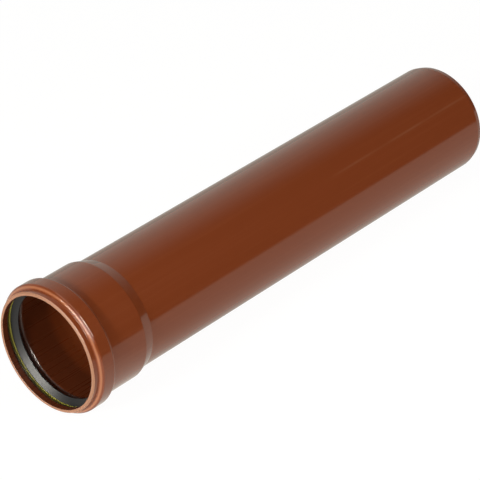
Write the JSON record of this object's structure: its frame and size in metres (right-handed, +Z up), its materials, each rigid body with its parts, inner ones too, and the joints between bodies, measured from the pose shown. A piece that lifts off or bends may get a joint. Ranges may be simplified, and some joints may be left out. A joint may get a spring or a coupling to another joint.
{
  "type": "socketed sewer pipe",
  "caption": "Short length of orange-brown sewer pipe with a formed socket and lip seal at one end and a chamfered plain end at the other.",
  "frame": {"origin": "on the floor under the middle of the laid pipe", "axes": "+X along the pipe from the socket to the plain end, +Z up; the pipe's own axis falls 0.87 degrees towards the plain end, because the socket's bead is thicker than the barrel"},
  "size_m": [0.5546, 0.126, 0.1263],
  "materials": {
    "pvc": "extruded unplasticised PVC, orange-brown, smooth and glossy",
    "retaining_plastic": "moulded polypropylene, yellow-green, satin",
    "seal_rubber": "moulded black rubber, smooth, lightly greased"
  },
  "bodies": {
    "root": {"pipe": "pvc", "retaining_ring": "retaining_plastic", "sealing_ring": "seal_rubber"}
  },
  "joints": []
}
